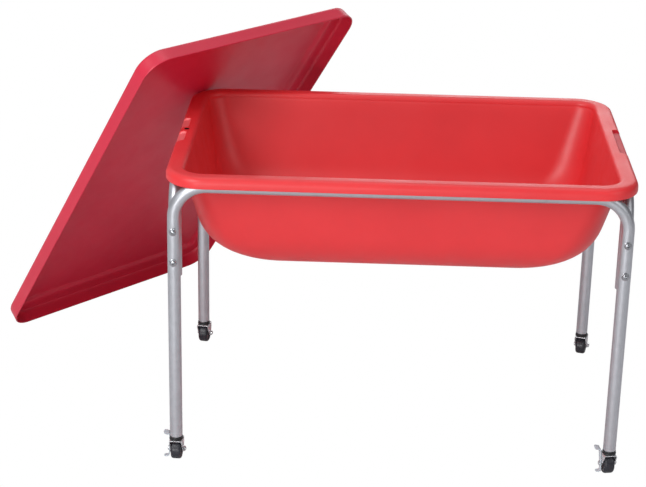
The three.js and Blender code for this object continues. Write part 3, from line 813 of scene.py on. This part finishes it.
def cross_cutters():
    """Two bars for the cross recess, each narrowing lengthways towards its bottom."""
    long, short, narrow = 3.3, 0.75, 0.45
    faces = [(0, 1, 2, 3), (7, 6, 5, 4), (0, 4, 5, 1), (1, 5, 6, 2), (2, 6, 7, 3), (3, 7, 4, 0)]
    bars = []
    for half_x, half_y, scale_x, scale_y in ((long, short, narrow, 1), (short, long, 1, narrow)):
        points = []
        for z, kx, ky in ((-7.0, 1, 1), (-3.0, scale_x, scale_y)):
            for sx, sy in ((-1, -1), (1, -1), (1, 1), (-1, 1)):
                points.append((sx * half_x * kx, sy * half_y * ky, z))
        bars.append(make("cutter", points, faces, ZINC))
    return bars


def bolt_mesh():
    pattern = revolve("bolt_proto", BOLT_PROFILE, BOLT, sides=40)
    cut(pattern, cross_cutters(), sharp=38)
    mesh = pattern.data.copy()
    bpy.data.objects.remove(pattern)
    return mesh


pattern_mesh = bolt_mesh()
for end, sy in (("front", -1), ("rear", 1)):
    for side, sx in (("left", -1), ("right", 1)):
        for level, z, level_turn in BOLTS:
            where = f"{end}_{side}_{level}"
            turn = rotation(90 * sy, "X") @ rotation(level_turn + 17 * sx + 9 * sy, "Z")
            bolt = link_object(f"screw_{where}", pattern_mesh.copy())
            put(bolt, "table", f"bolt_{where}",
                placed=shift(sx * LEG_X, sy * BOLT_Y, z) @ turn)
            nut = hex_nut(f"hexnut_{where}", flats=10.4, bore=3.25, height=5.0, material=ZINC)
            put(nut, "table", f"nut_{where}",
                placed=shift(sx * LEG_X, sy * NUT_Y, z) @ turn)


# ------------------------------------------------------------------ casters
STRIP_POINTS = 7  # points across a folded strip

# the toe brake's strip from its upper tip to its lower: (x from the flat, z, y from, y to),
# y measured from the axle
LEVER = [
    (-12.4, 54.6, 3.0, 8.4), (-11.8, 54.5, 1.4, 10.0), (-10.4, 54.2, 0.2, 11.2),
    (-7.5, 53.6, -0.5, 11.5), (-4.0, 52.9, -0.5, 11.5), (-2.1, 52.3, -0.5, 11.6),
    (-0.9, 51.2, -0.6, 11.8), (-0.2, 49.4, -0.8, 12.0), (0, 47, -1.0, 12.2),
    (0, 43, -1.4, 12.0), (0, 38.5, -2.2, 11.0), (0, 34, -3.3, 9.3), (0, 30, -4.7, 7.9),
    (0, 26.5, -5.9, 7.0), (0, 23.5, -6.4, 6.6), (0, 20.5, -6.5, 6.3), (0, 17.5, -6.6, 5.4),
    (0, 14.5, -8.0, 4.0), (0, 12.0, -9.4, 2.3), (-0.2, 10.2, -10.2, 1.2),
    (-0.9, 8.8, -10.6, 0.7), (-2.1, 7.9, -10.8, 0.5), (-4.0, 7.4, -10.9, 0.4),
    (-7.0, 7.1, -10.9, 0.4), (-9.0, 7.0, -10.2, -0.3), (-10.0, 7.0, -8.8, -1.7),
    (-10.5, 7.0, -7.4, -3.1)]
LEVER_X = -(FORK_HALF + 1.2)


def across(start, end):
    return [start + (end - start) * j / (STRIP_POINTS - 1) for j in range(STRIP_POINTS)]


def strip(name, rows, material, thickness, edge):
    """A folded sheet through rows of points on its middle surface."""
    points = [p for row in rows for p in row]
    piece = make(name, points, grid_faces(len(rows), STRIP_POINTS, closed=False), material)
    solid = piece.modifiers.new("thick", "SOLIDIFY")
    solid.thickness = thickness * MM
    solid.offset = 0
    solid.use_even_offset = True
    apply_modifiers(piece)
    return round_edges(piece, edge, angle=40)


def cheek_edges(z):
    """Front and back edge of a fork cheek at height z."""
    if z < WHEEL_R:
        half = sqrt(max(CHEEK_R ** 2 - (WHEEL_R - z) ** 2, 0.0))
        return TRAIL - half, TRAIL + half
    front, back = TRAIL - CHEEK_R, TRAIL + CHEEK_R
    rise = min((z - WHEEL_R) / (40.5 - WHEEL_R), 1.0)
    front += (-FORK_FRONT - front) * rise ** 0.85
    back += (FORK_BACK - back) * smooth(z, WHEEL_R, WHEEL_R + 11)
    return front, back


def fork(name):
    """One folded sheet: up the left cheek, over the top plate and down the right cheek."""
    half_x = FORK_HALF - PLATE / 2
    top = FORK_TOP - PLATE / 2
    bend, bend_steps = 2.6, 8
    half = [(-half_x, WHEEL_R - CHEEK_R * cos(radians(a))) for a in (12, 26, 40, 54, 68, 80)]
    half += [(-half_x, WHEEL_R + rise) for rise in (0, 2.5, 5, 8, 11, 14, 17, 20)]
    for i in range(1, bend_steps):
        a = radians(180 - 90 * i / bend_steps)
        half.append((-half_x + bend + bend * cos(a), top - bend + bend * sin(a)))
    half += [(-half_x + bend, top), (-6, top)]
    path = half + [(0, top)] + [(-x, z) for x, z in reversed(half)]
    rows = [[(x, y, z) for y in across(*cheek_edges(z))] for x, z in path]
    return strip(name, rows, ZINC, PLATE, edge=0.32)


def lever(name):
    """A toe brake: one strip, kicked out at both ends."""
    rows = []
    for x, z, start, end in LEVER:
        # the toe pad is tilted, its front edge lower than its back
        tilt = 0.42 * smooth(z, 51.0, 53.2)
        rows.append([(LEVER_X + x, TRAIL + y, z + tilt * (y - 5.5)) for y in across(start, end)])
    return strip(name, rows, BRAKE, thickness=1.6, edge=0.35)


def socket(name):
    bore, top = STEM_R + GAP, FORK_TOP
    profile = [
        (bore, top + 0.4), (12.9, top + 0.4), (13.5, top + 0.6), (13.8, top + 1.1),
        (13.8, top + 3.2), (13.5, top + 3.7), (12.6, top + 4.0), (12.3, top + 4.3),
        (12.3, top + 4.7), (12.7, top + 5.1), (13.1, top + 5.5), (13.1, LEG_END - 0.9),
        (12.8, LEG_END - 0.4), (10.75, LEG_END - 0.4), (10.75, 84), (9.6, 86), (0, 86),
        (0, 79), (bore, 79), (bore, top + 0.4)]
    return revolve(name, profile, BLACK, sides=56)


def stem(name):
    rivet = FORK_TOP - PLATE - 1.8
    profile = [
        (0, rivet), (4.4, rivet), (5.0, rivet + 0.3), (5.2, rivet + 0.7), (5.2, rivet + 1.4),
        (STEM_R, rivet + 1.4), (STEM_R, 77), (3, 78.4), (0, 78.4)]
    return revolve(name, profile, ZINC, sides=36)


def axle(name, braked):
    """The axle, its head outside the left cheek, or outside the brake lever."""
    head = -(FORK_HALF + (2.4 if braked else GAP))
    end = FORK_HALF + 5.4
    profile = [
        (0, head - 2.9), (2.2, head - 2.8), (3.7, head - 2.4), (4.7, head - 1.6),
        (5.0, head - 0.7), (5.0, head), (AXLE_R, head), (AXLE_R, end - 0.4), (2.4, end), (0, end)]
    return revolve(name, profile, ZINC, sides=40)


def hub(name):
    face = -WHEEL_W / 2
    half = [
        (AXLE_BORE, face - 0.7), (5.4, face - 0.7), (6.0, face - 0.2), (6.5, face + 1.5),
        (7.4, face + 2.2), (10.6, face + 2.2), (11.4, face + 1.6), (12.0, face + 1.2)]
    return revolve(name, mirrored(half), WHEEL, sides=48)


def tread(name):
    face, flank_r, shoulder, steps = -WHEEL_W / 2, 16.6, 5.2, 8
    half = [(12.3, face + 0.9), (14.2, face + 0.3), (16.2, face)]
    for i in range(1, steps + 1):
        a = radians(90 * i / steps)
        half.append((flank_r + (WHEEL_R - flank_r) * sin(a), face + shoulder * (1 - cos(a))))
    return revolve(name, mirrored(half), WHEEL, sides=72)


def build_caster(name, sx, sy, heading, braked):
    leg = shift(sx * LEG_X, sy * LEG_Y, 0)
    turned = leg @ rotation(heading, "Z")
    # pieces turned about z are laid along the axle, their z towards +X
    on_axle = turned @ shift(0, TRAIL, WHEEL_R) @ rotation(90, "Y")
    body, wheel = f"caster_{name}", f"wheel_{name}"

    put(socket(f"cup_{name}"), "table", f"socket_{name}", leg)
    put(stem(f"kingpin_{name}"), "table", f"stem_{name}", leg)
    put(fork(f"yoke_{name}"), body, f"fork_{name}", turned)
    put(axle(f"pin_{name}", braked), body, f"axle_{name}", on_axle)
    nut = hex_nut(f"pin_nut_{name}", flats=9.0, bore=AXLE_BORE, height=3.9, material=ZINC,
                  chamfer=0.7)
    put(nut, body, f"axle_nut_{name}", on_axle @ shift(0, 0, FORK_HALF + GAP))
    put(hub(f"core_{name}"), wheel, f"hub_{name}", on_axle)
    put(tread(f"tyre_{name}"), wheel, f"tread_{name}", on_axle)
    if braked:
        put(lever(f"toe_brake_{name}"), f"brake_{name}", f"brake_lever_{name}",
            turned)


for caster in CASTERS:
    build_caster(*caster)

# ------------------------------------------------------------------ drain
FLOOR = BOTTOM + SKIN  # the basin's inner floor
PLUG = FLOOR + 5.3  # underside of the plug's flange
LOCKNUT_Z = 366
GASKET_PROFILE = [
    (17.6, FLOOR + 0.3), (27.6, FLOOR + 0.3), (28.0, FLOOR + 0.7), (28.0, FLOOR + 1.7),
    (27.6, FLOOR + 2.1), (17.6, FLOOR + 2.1), (17.6, FLOOR + 0.3)]
FITTING_PROFILE = [
    (13, 350.4), (13.6, 350), (15.3, 350), (15.7, 350.3), (17, 352), (17, FLOOR + 2.4),
    (29.4, FLOOR + 2.4), (30, FLOOR + 2.9), (30, FLOOR + 3.5), (29.2, FLOOR + 4.4),
    (27.5, FLOOR + 5), (17, FLOOR + 5), (15.0, FLOOR + 4.6), (13.4, FLOOR + 3.9),
    (13, FLOOR + 3.2), (13, 350.4)]
PLUG_PROFILE = [
    (0, PLUG - 18), (10.8, PLUG - 18), (11.6, PLUG - 17.2), (12.4, PLUG - 14), (12.6, PLUG),
    (18.4, PLUG), (19, PLUG + 0.6), (19, PLUG + 2.4), (18.4, PLUG + 3.4), (17.2, PLUG + 4),
    (7.4, PLUG + 4), (5.6, PLUG + 4.8), (4.7, PLUG + 7), (5.0, PLUG + 10), (7.2, PLUG + 12.6),
    (8, PLUG + 13.6), (8, PLUG + 15.2), (7.2, PLUG + 16.2), (6, PLUG + 16.5), (0, PLUG + 16.5)]

put(revolve("drain_washer", GASKET_PROFILE, RUBBER, sides=64),
    "table", "drain_gasket")
put(revolve("drain_body", FITTING_PROFILE, CREAM, sides=64),
    "table", "drain_fitting")
locknut = hex_nut("drain_ring_nut", flats=46.6, bore=17.7, height=BOTTOM - GAP - LOCKNUT_Z,
                  material=CREAM, sides=72, chamfer=1.4)
put(locknut, "table", "drain_locknut", shift(0, 0, LOCKNUT_Z))
put(revolve("drain_stopper", PLUG_PROFILE, RUBBER, sides=56),
    "drain_plug", "drain_plug")


# ------------------------------------------------------------------ floor, world, lights, camera
def build_floor():
    """A pale floor that the camera itself sees as plain white."""
    half, z = 40.0, -0.0006  # metres
    mesh = bpy.data.meshes.new("floor")
    corners = [(-half, -half, z), (half, -half, z), (half, half, z), (-half, half, z)]
    mesh.from_pydata(corners, [], [(0, 1, 2, 3)])
    floor = link_object("floor", mesh)
    material, graph, surface = new_material("floor_pale")
    surface("Base Color", rgb(0.74, 0.74, 0.75))
    surface("Roughness", 0.9)
    surface("Specular IOR Level", 0.1)
    lit = graph.output.links[0].from_socket
    seen = graph.add("LightPath").outputs["Is Camera Ray"]
    glow = graph.add("Emission", {"Color": rgb(1, 1, 1), "Strength": 1.0}).outputs[0]
    graph.feed(graph.output, graph.add("MixShader", {0: seen, 1: lit, 2: glow}).outputs[0])
    mesh.materials.append(material)


def build_world():
    """White to the camera; the light it gives is brighter above and towards the left."""
    world = bpy.data.worlds.new("studio")
    bpy.context.scene.world = world
    graph = Graph(world, "OutputWorld")
    white = graph.add("Background", {0: rgb(1, 1, 1), 1: 1.0}).outputs[0]
    direction = graph.add("TexCoord").outputs["Generated"]
    x, _, z = graph.add("SeparateXYZ", {0: direction}).outputs
    height = graph.span(z, (-0.1, 1.0), (0.0, 1.0))
    sky = graph.ramp(height, rgb(0.62, 0.62, 0.64), rgb(0.95, 0.96, 1.0), band=(0.0, 0.85))
    side = graph.span(x, (-0.5, 0.9), (1.16, 0.34), interpolation_type="SMOOTHSTEP")
    dimmed = graph.add("VectorMath", {0: sky, "Scale": side}, operation="SCALE").outputs[0]
    studio = graph.add("Background", {0: dimmed, 1: 0.55}).outputs[0]
    seen = graph.add("LightPath").outputs["Is Camera Ray"]
    graph.feed(graph.output, graph.add("MixShader", {0: seen, 1: studio, 2: white}).outputs[0])


# name, place, target, (width, height), power in watts; in metres
LIGHTS = [
    ("key", (-2.3, -2.9, 3.0), (0, 0, 0.4), (1.8, 1.8), 92),
    ("fill", (2.8, -2.2, 2.2), (0, 0, 0.4), (1.6, 2.2), 20),
    ("top", (0.2, 0.6, 3.4), (0, 0, 0.4), (2.6, 2.0), 20),
    ("back", (0.6, 4.6, 1.9), (0, 0, 0.6), (3.4, 0.9), 34),
    ("low", (-1.5, -4.9, 0.5), (-0.1, 0, 0.35), (3.0, 0.8), 72),
]


def add_light(name, location, target, size, power):
    light = bpy.data.lights.new(name, "AREA")
    light.shape = "RECTANGLE"
    light.size, light.size_y = size
    light.energy = power
    lamp = link_object(name, light)
    lamp.location = Vector(location) + OFFSET
    lamp.rotation_mode = "QUATERNION"
    aim = Vector(target) - Vector(location)
    lamp.rotation_quaternion = aim.to_track_quat("-Z", "Y")


CAMERA_AT = (-53.19, -3499.46, 1750.92)
YAW, PITCH, ROLL = 0.02911, 0.37667, 0.01988  # radians; pitch is downwards
LENS, SENSOR = 100.12904, 36.0


def add_camera():
    forward = Vector((-sin(YAW) * cos(PITCH), cos(YAW) * cos(PITCH), -sin(PITCH)))
    level = Vector((cos(YAW), sin(YAW), 0))
    upright = level.cross(forward)
    right = level * cos(ROLL) + upright * sin(ROLL)
    up = level * -sin(ROLL) + upright * cos(ROLL)
    data = bpy.data.cameras.new("camera")
    data.sensor_width = SENSOR
    data.sensor_fit = "HORIZONTAL"
    data.lens = LENS
    data.clip_start, data.clip_end = 0.1, 200
    pose = Matrix((right, up, -forward)).transposed().to_4x4()
    pose.translation = Vector(CAMERA_AT) * MM + OFFSET
    camera = link_object("camera", data)
    camera.matrix_world = pose
    bpy.context.scene.camera = camera


build_floor()
build_world()
for light in LIGHTS:
    add_light(*light)
add_camera()
bpy.context.scene.view_settings.view_transform = "Standard"
